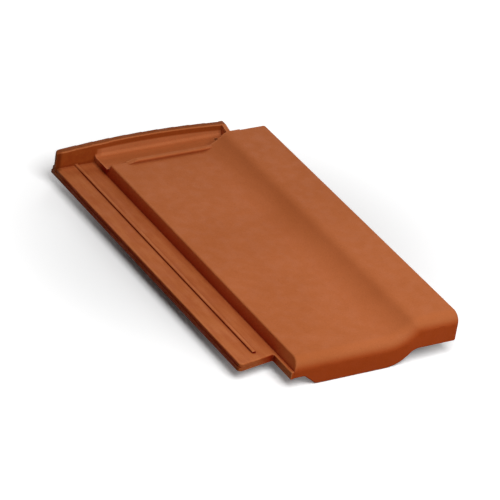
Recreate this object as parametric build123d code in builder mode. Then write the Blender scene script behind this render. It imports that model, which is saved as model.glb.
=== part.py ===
from build123d import *
import os
from math import acos, degrees, radians, sin, tan

# An interlocking clay roof tile, pressed and fired in one piece, lying face up.
# X runs across the tile with the roll at +X, Y runs up the roof with the nose at -Y,
# and Z = 0 is the level that the nose and the batten nibs stand on. Millimetres.

# Overall
tile_length = 440
tile_width = 250
nose_depth = 33
body_thickness = 11

# Slope, roll and rounded edges of the weathered face
roll_width = 47
roll_rise = 17
slope_foot_radius = 41
slope_brow_radius = 15
nose_radius = 13
pan_edge_radius = 2
roll_edge_radius = 5

# Underlock strip on the left, with its parting step and the ledge that runs on to the nose
underlock_width = 48.5
underlock_drop = 12.3
underlock_thickness = 8.5
underlock_setback = 29.5
underlock_end_skew = 7
underlock_corner_radius = 4
underlock_edge_radius = 1.2
wall_run = 4.2
foot_ledge_width = 3.5
foot_ledge_corner_radius = 1.5
side_step = 1.2
side_step_height = 4
water_bar_offset = 26
water_bar_width = 4
water_bar_height = 2
water_bar_setback = 15
water_bar_edge_radius = 1.2

# Lip and inner bar under the roll, which close over the next tile's underlock
lock_clearance = 0.5
lip_thickness = 10
lip_edge_radius = 2
inner_bar_offset = 19
inner_bar_width = 7

# Nose apron
apron_thickness = 11
apron_notch_width = 14
apron_notch_run = 15
apron_notch_radius = 6
apron_edge_radius = 1.5

# Head lock
head_lock_length = 36
tray_depth = 5
tray_edge_radius = 2
head_rib_width = 8
head_rib_height = 7.5
head_rib_crown = 5
head_rib_edge_radius = 2
head_rib_foot_radius = 4
head_corner_radius = 6
head_cutout_width = 35
tray_end_width = 5
cross_rib_width = 6
cross_rib_height = 3.5
cross_rib_inset = 19
cross_rib_fade = 12
cross_rib_edge_radius = 1.5
nail_hole_diameter = 5.5
nail_hole_from_head = 16
nail_hole_from_tray_end = 10
roll_end_thickness = 12

# Underside
nib_width = 36
nib_tip_depth = 12
nib_root_depth = 17
nib_from_pan_edge = 14
nib_from_tray_end = 22
nib_from_head = 32
nib_edge_radius = 2
under_rib_width = 8
under_rib_from_nose = 48
under_rib_clearance = 4

# Levels and places that follow from the sizes above
left = -tile_width / 2
right = tile_width / 2
nose = -tile_length / 2
head = tile_length / 2
pan_top = nose_depth
pan_under = pan_top - body_thickness
roll_top = pan_top + roll_rise
roll_under = roll_top - body_thickness
underlock_top = pan_top - underlock_drop
underlock_under = underlock_top - underlock_thickness
underlock_front = nose + underlock_setback
wall_foot = left + underlock_width
wall_back = wall_foot + body_thickness
wall_bottom = wall_foot - wall_run * underlock_thickness / underlock_drop
pan_left = wall_foot + wall_run
slope_angle = degrees(acos(1 - roll_rise / (slope_foot_radius + slope_brow_radius)))
slope_run = (slope_foot_radius + slope_brow_radius) * sin(radians(slope_angle))
slope_start = right - roll_width - slope_run
wall_shift = body_thickness * tan(radians(slope_angle) / 2)
lip_bottom = underlock_top + water_bar_height + lock_clearance
inner_bar_bottom = underlock_top + lock_clearance
tray_front = head - head_lock_length
tray_floor = pan_top - tray_depth
head_right = right - head_cutout_width
tray_right = head_right - tray_end_width
rib_end_top = pan_top + head_rib_height


def across_at(y):
    """Plane across the tile at the given place along it, seen from the nose."""
    return Plane.XZ.offset(-y)


def slope_from(start):
    """Draws the two arcs that rise from the pan to the roll and returns the upper one."""
    slope_foot = JernArc(start, (1, 0), slope_foot_radius, slope_angle)
    return JernArc(slope_foot @ 1, slope_foot % 1, slope_brow_radius, -slope_angle)


# Head rib with a crowned top and a rounded outer corner
with BuildPart() as head_rib:
    with BuildSketch(across_at(head)):
        with BuildLine():
            Polyline((left, rib_end_top), (left, underlock_under), (wall_back, underlock_under),
                     (wall_back, pan_under), (head_right, pan_under), (head_right, rib_end_top))
            ThreePointArc((left, rib_end_top), ((left + head_right) / 2, rib_end_top + head_rib_crown),
                          (head_right, rib_end_top))
        make_face()
    extrude(amount=head_rib_width)
    rib_corner = head_rib.edges().filter_by(Axis.Z).sort_by_distance((left, head, rib_end_top))[0]
    fillet(rib_corner, head_corner_radius)
    fillet(head_rib.faces().sort_by(Axis.Z)[-1].edges(), head_rib_edge_radius)

with BuildPart() as roof_tile:
    # Pan, slope, roll and hanging lip at one wall thickness
    with BuildSketch(across_at(head)):
        with BuildLine():
            Polyline((wall_bottom, underlock_under), (pan_left, pan_top), (slope_start, pan_top))
            crest = slope_from((slope_start, pan_top))
            Polyline(crest @ 1, (right, roll_top), (right, lip_bottom), (right - lip_thickness, lip_bottom),
                     (right - lip_thickness, roll_under), (slope_start + wall_shift + slope_run, roll_under))
            slope_from((slope_start + wall_shift, pan_under))
            Polyline((slope_start + wall_shift, pan_under), (pan_left + body_thickness, pan_under),
                     (wall_back, underlock_under), (wall_bottom, underlock_under))
        make_face()
    extrude(amount=tile_length)

    # Apron that closes the nose, with its raised notch on the left
    with BuildSketch(across_at(nose + apron_thickness)):
        with BuildLine():
            notch_end = wall_foot + apron_notch_width
            FilletPolyline((slope_start, 0), (notch_end + apron_notch_run, 0), (notch_end, underlock_under),
                           (wall_bottom, underlock_under), radius=apron_notch_radius)
            Polyline((wall_bottom, underlock_under), (pan_left, pan_top), (slope_start, pan_top))
            crest = slope_from((slope_start, pan_top))
            lower_crest = slope_from((slope_start, 0))
            Polyline(crest @ 1, (right, roll_top), (right, roll_rise), lower_crest @ 1)
        make_face()
    extrude(amount=apron_thickness)

    # Rounded nose, and the rounded long edges of the pan and the roll, which run on round it
    front_edges = roof_tile.edges().group_by(Axis.Y)[0].filter_by(Axis.Z, reverse=True)
    nose_edges = front_edges.filter_by_position(Axis.Z, pan_top - underlock_drop / 4, roll_top + roll_rise)
    fillet(nose_edges, nose_radius)
    fillet(roof_tile.edges().sort_by_distance((pan_left, 0, pan_top))[0], pan_edge_radius)
    fillet(roof_tile.edges().sort_by_distance((right, 0, roll_top))[0], roll_edge_radius)
    front_edges = roof_tile.edges().group_by(Axis.Y)[0]
    fillet(front_edges.filter_by(lambda edge: edge.bounding_box().max.Z < underlock_top), apron_edge_radius)

    # Underlock strip in two heights, with a skew end and a ledge at the wall's foot that runs on to the nose
    ledge_left = wall_foot - foot_ledge_width
    ledge_start = underlock_front + underlock_end_skew
    step_top = underlock_under + side_step_height
    lower_strip = (left, underlock_under, step_top)
    upper_strip = (left + side_step, step_top, underlock_top)
    for outer, bottom, top in (lower_strip, upper_strip):
        with BuildSketch(Plane.XY.offset(bottom)) as strip:
            with BuildLine():
                Polyline((outer, head), (outer, underlock_front), (ledge_left, ledge_start),
                         (ledge_left, nose), (wall_foot, nose), (wall_foot, head), close=True)
            make_face()
            fillet(strip.vertices().sort_by_distance((outer, underlock_front))[0], underlock_corner_radius)
            fillet(strip.vertices().sort_by_distance((ledge_left, ledge_start))[0], foot_ledge_corner_radius)
        extrude(amount=top - bottom)
    fillet(roof_tile.edges().sort_by_distance((left + side_step, 0, underlock_top))[0], underlock_edge_radius)

    # Low bar that keeps water on the inner side of the strip
    with BuildSketch(across_at(head)) as water_bar:
        with Locations((left + water_bar_offset, underlock_top)):
            Rectangle(water_bar_width, 2 * water_bar_height)
        fillet(water_bar.vertices().group_by(Axis.Y)[-1], water_bar_edge_radius)
    extrude(amount=tile_length - underlock_setback - water_bar_setback)

    # Rounded foot of the lip, and the inner lock bar beside it
    fillet(roof_tile.edges().sort_by_distance((right, 0, lip_bottom))[0], lip_edge_radius)
    with BuildSketch(across_at(head)):
        with Locations((right - inner_bar_offset, inner_bar_bottom)):
            Rectangle(inner_bar_width, roll_under - inner_bar_bottom, align=(Align.MAX, Align.MIN))
    extrude(amount=tile_length)

    # Head lock: everything behind the tray's front is lowered, and the roll's corner is cut away
    with BuildSketch(Plane.XY.offset(tray_floor)):
        with Locations((0, head)):
            Rectangle(tile_width, head_lock_length, align=(Align.CENTER, Align.MAX))
    extrude(amount=roll_top, mode=Mode.SUBTRACT)
    with BuildSketch():
        with Locations((right, head)):
            Rectangle(head_cutout_width, head_lock_length, align=(Align.MAX, Align.MAX))
    extrude(amount=roll_top, mode=Mode.SUBTRACT)

    # Rounded head end of the pan, the slope and the roll
    pan_end = roof_tile.edges().sort_by_distance((pan_left + wall_run, tray_front, pan_top))[0]
    fillet(pan_end, tray_edge_radius)

    # Tray floor, from the foot of the wall on the left to under the roll
    with BuildSketch(Plane.XY.offset(tray_floor)):
        with Locations((head_right, head)):
            Rectangle(head_right - wall_foot, head_lock_length, align=(Align.MAX, Align.MAX))
    extrude(amount=pan_under - tray_floor)

    # Wall that closes the hollow of the roll towards the tray
    with BuildSketch(across_at(tray_front)):
        with BuildLine():
            crest = slope_from((slope_start, pan_top))
            Polyline(crest @ 1, (head_right, roll_top), (head_right, pan_under), (slope_start, pan_under),
                     (slope_start, pan_top))
        make_face()
    extrude(amount=roll_end_thickness)

    # Raised end that closes the tray beside the roll, falling from the head rib to the pan's level
    with BuildSketch(Plane.YZ.offset(tray_right)):
        with BuildLine():
            Polyline((tray_front, pan_under), (head, pan_under), (head, rib_end_top),
                     (head - head_rib_width, rib_end_top), (tray_front, pan_top), close=True)
        make_face()
    extrude(amount=tray_end_width)

    # The head rib stands across the back of the tray and the underlock
    add(head_rib.part)
    rib_foot = roof_tile.edges().filter_by(Axis.X).sort_by_distance((0, head - head_rib_width, tray_floor))[0]
    fillet(rib_foot, head_rib_foot_radius)

    # Low cross rib along the tray's front edge, which rises from the pan and dies into the slope of the roll
    cross_rib_left = pan_left + cross_rib_inset
    cross_rib_right = slope_start + slope_run / 2
    cross_rib_top = pan_top + cross_rib_height
    with BuildSketch(Plane.YZ.offset(cross_rib_left)) as cross_rib:
        with Locations((tray_front, tray_floor)):
            Rectangle(cross_rib_width, cross_rib_top - tray_floor, align=(Align.MAX, Align.MIN))
        fillet(cross_rib.vertices().group_by(Axis.Y)[-1], cross_rib_edge_radius)
    extrude(amount=cross_rib_right - cross_rib_left)
    with BuildSketch(across_at(tray_front)):
        with BuildLine():
            Polyline((cross_rib_left, pan_top), (cross_rib_left + cross_rib_fade, cross_rib_top),
                     (cross_rib_left, cross_rib_top), close=True)
        make_face()
    extrude(amount=cross_rib_width, mode=Mode.SUBTRACT)

    # Nail hole at the tray's end
    with Locations((tray_right - nail_hole_from_tray_end, head - nail_hole_from_head, tray_floor)):
        Hole(nail_hole_diameter / 2, depth=tray_floor)

    # Two nibs that hook over the batten, upright in front and sloped behind
    nib_front = head - nib_from_head
    left_nib = Plane.YZ.offset(pan_left + nib_from_pan_edge)
    right_nib = Plane.YZ.offset(tray_right - nib_from_tray_end - nib_width)
    with BuildSketch(left_nib, right_nib):
        with BuildLine():
            Polyline((nib_front, 0), (nib_front + nib_tip_depth, 0), (nib_front + nib_root_depth, tray_floor),
                     (nib_front, tray_floor), close=True)
        make_face()
    extrude(amount=nib_width)
    fillet(roof_tile.edges().group_by(Axis.Z)[0].filter_by_position(Axis.Y, 0, head), nib_edge_radius)

    # Rib under the pan that drops into the next tile's tray
    with BuildSketch(Plane.XY.offset(under_rib_clearance)):
        with Locations((pan_left + body_thickness, nose + under_rib_from_nose)):
            Rectangle(slope_start - pan_left - body_thickness, under_rib_width, align=(Align.MIN, Align.MIN))
    extrude(amount=pan_under - under_rib_clearance)

os.makedirs("parts", exist_ok=True)
roof_tile.part.label = "roof_tile"
export_step(roof_tile.part, "parts/roof_tile.step")
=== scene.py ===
# %% [markdown]
# # An interlocking clay roof tile
# This lesson dresses one pressed and fired roof tile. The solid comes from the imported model, so its
# pan, roll, locks, ribs and nibs are already there at their real size. Blender adds what clay shows
# at close range: its colour, its grain, its wear and the light that falls on it.

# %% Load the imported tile
import math
import bpy
import numpy as np
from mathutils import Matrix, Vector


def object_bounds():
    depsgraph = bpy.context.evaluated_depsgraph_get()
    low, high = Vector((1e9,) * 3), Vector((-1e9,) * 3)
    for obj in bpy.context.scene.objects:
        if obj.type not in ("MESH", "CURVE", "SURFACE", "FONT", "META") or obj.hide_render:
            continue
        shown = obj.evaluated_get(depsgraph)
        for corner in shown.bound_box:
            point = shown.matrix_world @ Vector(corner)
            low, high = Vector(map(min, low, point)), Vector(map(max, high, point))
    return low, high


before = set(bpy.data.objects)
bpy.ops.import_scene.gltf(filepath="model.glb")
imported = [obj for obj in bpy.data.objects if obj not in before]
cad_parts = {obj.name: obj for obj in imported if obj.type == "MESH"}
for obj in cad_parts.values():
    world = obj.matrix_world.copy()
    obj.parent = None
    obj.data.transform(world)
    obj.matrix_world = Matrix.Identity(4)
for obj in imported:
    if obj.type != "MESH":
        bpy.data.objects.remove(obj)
cad_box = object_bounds()
tile = bpy.data.objects["roof_tile"]
print("tile box in metres", cad_box, "faces", len(tile.data.polygons))

# %% [markdown]
# ## The camera
# A roof tile is looked at over its left shoulder, from in front of its nose. A long lens keeps its
# two long edges almost parallel. The camera could be placed by hand in the viewport; here its
# direction, distance and roll are written down, so that the view is the same on every run.

# %% Directions of the view
view_azimuth = math.radians(-35.51)
view_elevation = math.radians(31.43)
view_roll = math.radians(9.4)

towards_camera = np.array([
    math.sin(view_azimuth) * math.cos(view_elevation),
    -math.cos(view_azimuth) * math.cos(view_elevation),
    math.sin(view_elevation),
])
forward = -towards_camera
level_right = np.array([math.cos(view_azimuth), math.sin(view_azimuth), 0.0])
level_up = np.cross(level_right, forward)
up = math.cos(view_roll) * level_up - math.sin(view_roll) * level_right
right = np.cross(forward, up)
print("camera looks along", forward.round(3))

# %% Aim the camera
view_distance = 4.054
lens_length = 272.0
sensor_width = 36.0
sight_end = 50.0
aim = np.array([0.0, 0.0, 0.020])


def stand(thing, x_axis, y_axis, z_axis, spot):
    """Places a camera or lamp at a spot, with its three axes along the given directions."""
    pose = np.eye(4)
    pose[:3, :] = np.column_stack([x_axis, y_axis, z_axis, spot])
    thing.matrix_world = pose.T.tolist()
    bpy.context.collection.objects.link(thing)


camera_spot = aim + view_distance * towards_camera
camera = bpy.data.objects.new("camera", bpy.data.cameras.new("camera"))
camera.data.lens = lens_length
camera.data.sensor_width = sensor_width
camera.data.clip_end = sight_end
stand(camera, right, up, towards_camera, camera_spot)
bpy.context.scene.camera = camera
print("camera stands at", camera_spot.round(3))

# %% [markdown]
# ## The clay
# Terracotta is matt and full of fine sand. Its colour drifts slowly over the face, because the kiln
# is never evenly hot. A picture wrapped round the tile would show seams at the ribs and locks, so
# the colour is worked out from the place of each point on the tile, in metres, and stays on the tile
# from every side. The nodes are placed by a few small helpers that the floor and the room use too.
# A span is a pair of values: a mask begins at the first and is full at the second.

# %% Helpers that place nodes


def add_node(tree, kind, inputs=(), **settings):
    """Adds a node, sets its properties, and fills each named input with a value or a link."""
    node = tree.nodes.new(kind)
    for name, value in settings.items():
        setattr(node, name, value)
    for name, value in dict(inputs).items():
        if isinstance(value, bpy.types.NodeSocket):
            tree.links.new(value, node.inputs[name])
        else:
            node.inputs[name].default_value = value
    return node


def ramp(value, low, high, start=0.0, end=1.0):
    """Smooth step from start to end while value goes from low to high, up or down."""
    step = add_node(value.id_data, "ShaderNodeMapRange", {
        "Value": value, "From Min": low, "From Max": high, "To Min": start, "To Max": end},
        interpolation_type="SMOOTHSTEP")
    return step.outputs["Result"]


def combine(operation, value, *others):
    """Joins values one after another by ADD, MULTIPLY or MAXIMUM."""
    for other in others:
        step = add_node(value.id_data, "ShaderNodeMath", {0: value, 1: other}, operation=operation)
        value = step.outputs[0]
    return value


print("node helpers ready")

# %% Helpers that mix colours
# The mix node has sockets for each kind of data. These numbers are the ones for colours.
mask_input = 0
first_input = 6
second_input = 7
colour_output = 2


def blend(mask, first, second, mode="MIX"):
    """First colour where the mask is 0, second (or their product) where it is 1."""
    tree = next(part.id_data for part in (mask, first, second)
                if isinstance(part, bpy.types.NodeSocket))
    first, second = [colour if isinstance(colour, bpy.types.NodeSocket) else (*colour, 1.0)
                     for colour in (first, second)]
    mix = add_node(tree, "ShaderNodeMix", {mask_input: mask, first_input: first, second_input: second},
                   data_type="RGBA", blend_type=mode)
    return mix.outputs[colour_output]


def tint(colour, factors):
    """Colour with its red, green and blue multiplied by the three factors."""
    return blend(1.0, colour, factors, "MULTIPLY")


print("colour helpers ready")

# %% Start the clay
clay = bpy.data.materials.new("fired_clay_finish")
clay.use_nodes = True
clay_tree = clay.node_tree
clay_shader = clay_tree.nodes["Principled BSDF"]
place = add_node(clay_tree, "ShaderNodeTexCoord").outputs["Object"]


def noise(size, detail=3.0, roughness=0.5, where=place):
    """Soft random field whose blotches are about size metres across, from 0 to 1."""
    field = add_node(clay_tree, "ShaderNodeTexNoise", {
        "Vector": where, "Scale": 1.0 / size, "Detail": detail, "Roughness": roughness})
    return field.outputs["Fac"]


print("clay material started")

# %% Colour of the fired body, with its slow drift
deep_clay = (0.430, 0.115, 0.031)
pale_clay = (0.472, 0.131, 0.039)
drift_size = 0.090
drift_span = (0.30, 0.70)
drift = noise(drift_size, detail=4.0, roughness=0.55)
body_colour = blend(ramp(drift, *drift_span), deep_clay, pale_clay)
print("fired body from", deep_clay, "to", pale_clay)

# %% [markdown]
# ## Painted shade, and where it is left off
# The faces that look up keep the plain colour of the fired body, and so do all faces of the head and
# the strip's end. The sides are painted with shade, a deeper red. Hollows are painted darker still
# with shade, and the creases beside the bars and ribs get a painted shade of their own. Painting
# this by hand would take a brush to every edge. The direction of a face, its distance from the head
# and the left side, and the ambient occlusion node, which measures how much of the tile stands round
# a point, give the same masks at once. The node is told to look at the tile alone, so the floor
# leaves no mark.

# %% Where a point lies and which way its face looks
left_side = float(cad_box[0][0])
head_end = float(cad_box[1][1])
facing = add_node(clay_tree, "ShaderNodeNewGeometry").outputs["Normal"]
look_parts = add_node(clay_tree, "ShaderNodeSeparateXYZ", {"Vector": facing}).outputs
place_parts = add_node(clay_tree, "ShaderNodeSeparateXYZ", {"Vector": place}).outputs
head_look = look_parts["Y"]
up_look = look_parts["Z"]
from_left = combine("ADD", place_parts["X"], -left_side)
from_head = combine("ADD", combine("MULTIPLY", place_parts["Y"], -1.0), head_end)
print("distances start at the left side", left_side, "m and at the head", head_end, "m")

# %% The head, its tray and the strip's end, where the painted shade is left off every face
head_width = 0.215
tray_right_fade = 0.015
head_span = (0.034, 0.014)
tray_span = (0.052, 0.043)
tray_right_span = (head_width, head_width - tray_right_fade)
wall_span = (0.053, 0.058)
strip_end_span = (0.400, 0.408)
strip_inner_span = (0.047, 0.045)
most_left_unshaded = 0.8
tray_left_unshaded = combine("MULTIPLY", ramp(from_head, *tray_span, 0.0, most_left_unshaded),
                     ramp(from_left, *wall_span), ramp(from_left, *tray_right_span))
head_left_unshaded = combine("MAXIMUM", ramp(from_head, *head_span), tray_left_unshaded)
strip_end_left_unshaded = combine("MULTIPLY", ramp(from_head, *strip_end_span, 0.0, most_left_unshaded),
                          ramp(from_left, *strip_inner_span))
# the painted shade is left off within these distances of the head's end
print("dust stays within", tray_span[0], "m of the head's end in the tray,", head_span[0], "m beside it")

# %% Painted shade on the sides; faces that look up, and those places, keep the body colour
side_shade_tint = (0.98, 0.52, 0.20)
no_side_shade_span = (-0.05, 0.70)
no_side_shade_share = combine("MAXIMUM", ramp(up_look, *no_side_shade_span), head_left_unshaded, strip_end_left_unshaded)
coloured = blend(no_side_shade_share, tint(body_colour, side_shade_tint), body_colour)
print("bare sides are tinted by", side_shade_tint)

# %% Painted shade in the hollows, a deeper red


def openness(reach, inside=False):
    """Share of the tile's surroundings, within reach metres, that is open: 1 on a plain face."""
    shelter = add_node(clay_tree, "ShaderNodeAmbientOcclusion", {"Distance": reach},
                       samples=8, inside=inside, only_local=True)
    return shelter.outputs["AO"]


hollow_reach = 0.026
hollow_span = (0.46, 1.0)
hollow_shade_tint = (0.66, 0.42, 0.26)
around = openness(hollow_reach)
open_share = combine("MAXIMUM", ramp(around, *hollow_span), head_left_unshaded)
coloured = blend(open_share, tint(coloured, hollow_shade_tint), coloured)
print("hollows reach", hollow_reach, "m")

# %% Painted shade on the wall above the lock strip, the darkest red
wall_shade_tint = (0.76, 0.30, 0.00)
steep_span = (0.60, 0.25)
shelter_span = (0.97, 0.75)
steep_share = combine("MULTIPLY", ramp(up_look, *steep_span), ramp(from_head, *head_span[::-1]),
                      ramp(from_left, *wall_span[::-1]))
wall_shade_share = combine("MULTIPLY", ramp(around, *shelter_span), steep_share)
coloured = blend(wall_shade_share, coloured, tint(coloured, wall_shade_tint))
print("wall stands", wall_span[0], "m from the left side")

# %% Painted shade in the creases
crease_reach = 0.005
crease_span = (0.50, 0.97)
head_crease_shade_cut = 0.6
crease_shade_tint = (0.55, 0.38, 0.28)
crease_shade_free = combine("MAXIMUM", ramp(openness(crease_reach), *crease_span),
                      combine("MULTIPLY", head_left_unshaded, head_crease_shade_cut))
coloured = blend(crease_shade_free, tint(coloured, crease_shade_tint), coloured)
print("creases reach", crease_reach, "m")

# %% [markdown]
# ## Wear, painted highlight and streaks
# Edges that stick out are paler, partly from wear, as they are rubbed when tiles are stacked and
# carried, and partly from a painted highlight. The same node finds them when it looks into the clay
# instead of out of it. Water runs along the lock strip and draws its dirt out into streaks. They
# could be brushed on; a noise stretched along the tile gives them without a seam.

# %% Paler edges that stick out: wear and a painted highlight
edge_reach = 0.003
edge_span = (0.92, 0.50)
rubbing_size = 0.004
rubbing_span = (0.30, 0.65)
least_rubbed = 0.35
wear_and_highlight_tint = (1.22, 1.45, 1.80)
rubbed = ramp(noise(rubbing_size), *rubbing_span, least_rubbed, 1.0)
worn_and_highlit_edges = combine("MULTIPLY", ramp(openness(edge_reach, inside=True), *edge_span), rubbed)
coloured = blend(worn_and_highlit_edges, coloured, tint(coloured, wear_and_highlight_tint))
print("edges are worn within", edge_reach, "m")

# %% Streaks of dirt along the lock strip
strip_span = (0.0495, 0.0475)
streak_size = 0.007
streak_stretch = (1.0, 0.16, 1.0)
streak_span = (0.36, 0.64)
most_streaked = 0.65
ochre_tint = (0.98, 1.03, 1.00)
rust_tint = (0.82, 0.70, 0.58)
drawn_out = add_node(clay_tree, "ShaderNodeMapping", {"Vector": place, "Scale": streak_stretch})
streak = noise(streak_size, detail=4.0, roughness=0.6, where=drawn_out.outputs["Vector"])
streaked = tint(coloured, blend(ramp(streak, *streak_span), rust_tint, ochre_tint))
coloured = blend(ramp(from_left, *strip_span, 0.0, most_streaked), coloured, streaked)
print("lock strip is streaked up to", strip_span[0], "m from the left side")

# %% [markdown]
# ## The head rib and the rim
# The upper part of the head rib's front is painted with shade, dark and red, and its foot is painted
# lighter from the tray up, a painted light. The outer rim is painted darker with shade: the back of
# the rib's top, the rib's end by the left side, and the lock strip's outer side. The rib is crowned,
# so a mask by height alone would cut across it. What the crown loses towards its ends is added back
# to the height first, and then one height marks the band all along the rib.

# %% Level the crown of the rib
rib_half_width = head_width / 2
rib_crown = 0.005
from_middle = combine("ADD", from_left, -rib_half_width)
crown_loss = combine("MULTIPLY", from_middle, from_middle, rib_crown / rib_half_width ** 2)
levelled = combine("ADD", place_parts["Z"], crown_loss)
print("rib is crowned by", rib_crown, "m")

# %% Painted shade on the upper face of the head rib
band_span = (0.0370, 0.0395)
strip_rib_span = (0.0525, 0.0495)
face_span = (0.0110, 0.0088)
face_look_span = (-0.88, -0.99)
rib_shade_tint = (0.70, 0.48, 0.22)
band_share = combine("MAXIMUM", ramp(levelled, *band_span), ramp(from_left, *strip_rib_span))
shade_share = combine("MULTIPLY", ramp(from_head, *face_span), ramp(head_look, *face_look_span),
                      band_share)
coloured = blend(shade_share, coloured, tint(coloured, rib_shade_tint))
print("head rib is dark above", band_span[0], "m at its middle")

# %% Painted light at the foot of the head rib
foot_span = (0.0140, 0.0090)
foot_look_span = (-0.20, -0.98)
most_foot_light = 0.9
foot_light_tint = (1.20, 1.38, 1.65)
foot_light_share = combine("MULTIPLY", ramp(from_head, *foot_span), ramp(levelled, *band_span[::-1]),
                     ramp(head_look, *foot_look_span, 0.0, most_foot_light),
                     ramp(from_left, *wall_span))
coloured = blend(foot_light_share, coloured, tint(coloured, foot_light_tint))
# painted light rises up the rib's foot from this distance before the head's end
print("dust climbs the rib's foot from", foot_span[0], "m before the head's end")

# %% Painted shade along the rim of the head and the lock strip
rib_top_span = (0.0078, 0.0060)
rib_top_look_span = (0.1, 0.6)
rib_end_side_span = (0.0080, 0.0030)
rib_end_head_span = (0.0160, 0.0100)
strip_rim_span = (0.0018, 0.0004)
rim_shade_tint = (0.52, 0.42, 0.22)
rib_top_share = combine("MULTIPLY", ramp(from_head, *rib_top_span),
                        ramp(up_look, *rib_top_look_span))
rib_end_share = combine("MULTIPLY", ramp(from_left, *rib_end_side_span),
                        ramp(from_head, *rib_end_head_span))
rim_shade_share = combine("MAXIMUM", rib_top_share, rib_end_share, ramp(from_left, *strip_rim_span))
coloured = blend(rim_shade_share, coloured, tint(coloured, rim_shade_tint))
# painted shade darkens the rim within this distance of the head's end
print("rim is stained within", rib_top_span[0], "m of the head's end")

# %% [markdown]
# ## Sand
# Sharp sand in the clay shows as pale and dark grains, and it roughens the skin. Grains of their own
# would take millions of faces, so one fine noise colours them and raises them through a bump node.

# %% Sand grains in the clay
grain_size = 0.0016
pale_span = (0.56, 0.72)
dark_span = (0.44, 0.28)
most_pale = 0.35
most_dark = 0.45
pale_grain = (1.22, 1.28, 1.36)
dark_grain = (0.80, 0.74, 0.70)
sand = noise(grain_size, detail=2.0, roughness=0.6)
coloured = blend(ramp(sand, *pale_span, 0.0, most_pale), coloured, tint(coloured, pale_grain))
coloured = blend(ramp(sand, *dark_span, 0.0, most_dark), coloured, tint(coloured, dark_grain))
clay_tree.links.new(coloured, clay_shader.inputs["Base Color"])
print("grains about", grain_size, "m apart")

# %% Roughness of the skin
smear_size = 0.012
smear_span = (0.3, 0.7)
least_rough = 0.62
most_rough = 0.80
gloss_level = 0.13
smear = ramp(noise(smear_size, detail=5.0), *smear_span, least_rough, most_rough)
clay_tree.links.new(smear, clay_shader.inputs["Roughness"])
clay_shader.inputs["Specular IOR Level"].default_value = gloss_level
print("roughness from", least_rough, "to", most_rough)

# %% Relief of the skin
pit_size = 0.007
relief_height = 0.0003
relief_strength = 0.35
skin = combine("ADD", sand, noise(pit_size, detail=4.0))
relief = add_node(clay_tree, "ShaderNodeBump", {
    "Strength": relief_strength, "Distance": relief_height, "Height": skin})
clay_tree.links.new(relief.outputs["Normal"], clay_shader.inputs["Normal"])
print("relief of the skin up to", relief_height, "m")

# %% Dress the tile
for slot in tile.material_slots:
    slot.material = clay
print("slots dressed", len(tile.material_slots))

# %% [markdown]
# ## The floor
# The tile lies on a plain pale floor that keeps its shadow. The camera sees it white, and what it
# throws back on the tile is held down, as on a dark studio table. A curved paper backdrop could hide
# the floor's far end; here the floor shines a little of itself away from the tile, for the camera
# alone, until it is as white as the room.

# %% Lay the floor
floor_reach = 3.0
corner_signs = np.array([[-1.0, -1.0, 0.0], [1.0, -1.0, 0.0], [1.0, 1.0, 0.0], [-1.0, 1.0, 0.0]])
floor_mesh = bpy.data.meshes.new("floor")
floor_mesh.from_pydata((corner_signs * floor_reach).tolist(), [], [(0, 1, 2, 3)])
floor = bpy.data.objects.new("floor", floor_mesh)
bpy.context.collection.objects.link(floor)
print("floor laid,", 2 * floor_reach, "m square")

# %% What the camera sees and what the tile sees
white = (1.0, 1.0, 1.0)


def seen_share(tree):
    """1 for what the camera sees, straight or in a reflection, and 0 for light on its way."""
    rays = add_node(tree, "ShaderNodeLightPath").outputs
    return combine("MAXIMUM", rays["Is Camera Ray"], rays["Is Glossy Ray"], rays["Is Transmission Ray"])


def white_for_camera(tree, thrown):
    """White where the camera sees it, and the thrown colour for the light on the tile."""
    return blend(seen_share(tree), thrown, white)


print("white for the camera alone")

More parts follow.
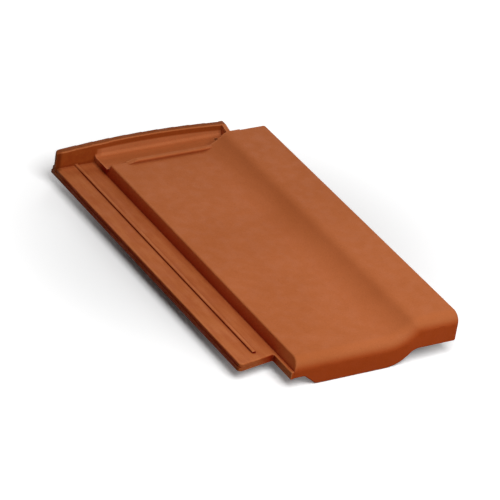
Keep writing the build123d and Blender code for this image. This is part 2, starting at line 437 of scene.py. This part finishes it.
# %% Paint the floor
floor_thrown = (0.10, 0.09, 0.08)
floor_roughness = 0.9
paper = bpy.data.materials.new("pale_floor")
paper.use_nodes = True
paper_tree = paper.node_tree
paper_shader = paper_tree.nodes["Principled BSDF"]
paper_shader.inputs["Roughness"].default_value = floor_roughness
paper_tree.links.new(white_for_camera(paper_tree, floor_thrown), paper_shader.inputs["Base Color"])
floor_mesh.materials.append(paper)
print("floor throws", floor_thrown)

# %% Fade the floor to white away from the tile
glow_start = 0.10
glow_end = 0.44
glow_strength = 0.60
floor_place = add_node(paper_tree, "ShaderNodeTexCoord").outputs["Object"]
away = add_node(paper_tree, "ShaderNodeVectorMath", {0: floor_place}, operation="LENGTH")
glow = combine("MULTIPLY", ramp(away.outputs["Value"], glow_start, glow_end, 0.0, glow_strength),
               seen_share(paper_tree))
paper_shader.inputs["Emission Color"].default_value = (*white, 1.0)
paper_tree.links.new(glow, paper_shader.inputs["Emission Strength"])
print("floor fades to white between", glow_start, "and", glow_end, "m from the tile's middle")

# %% [markdown]
# ## The light
# One broad lamp stands high in front, so the pan is evenly lit, the nose catches the light and the
# walls that look left fall into shade. A weaker lamp behind keeps the head rib and the roll's end
# readable from the back. One bright sun would cut hard shadows, so both lamps are wide. Their power
# is set so that a colour renders about as it is written.

# %% Hang the lamps


def hang_lamp(name, direction, distance, size, power):
    """Square lamp of the given size that looks at the tile from the given direction."""
    lamp = bpy.data.objects.new(name, bpy.data.lights.new(name, "AREA"))
    lamp.data.size = size
    lamp.data.energy = power
    line = np.array(direction) / np.linalg.norm(direction)
    side = np.cross([0.0, 1.0, 0.0], line)
    side = side / np.linalg.norm(side)
    stand(lamp, side, np.cross(line, side), line, line * distance)
    print(name, "gives", power, "watts from", (line * distance).round(2))


hang_lamp("broad_lamp", direction=(-0.05, -0.66, 1.0), distance=1.5, size=1.1, power=21.0)
hang_lamp("back_lamp", direction=(0.60, 0.85, 0.60), distance=2.2, size=0.8, power=6.0)

# %% Fill the room with a little light
room_thrown = (0.09, 0.09, 0.09)
room = bpy.data.worlds.new("studio")
bpy.context.scene.world = room
room.use_nodes = True
room_tree = room.node_tree
room_shader = room_tree.nodes["Background"]
room_tree.links.new(white_for_camera(room_tree, room_thrown), room_shader.inputs["Color"])
bpy.context.scene.view_settings.view_transform = "Standard"
print("room throws", room_thrown)
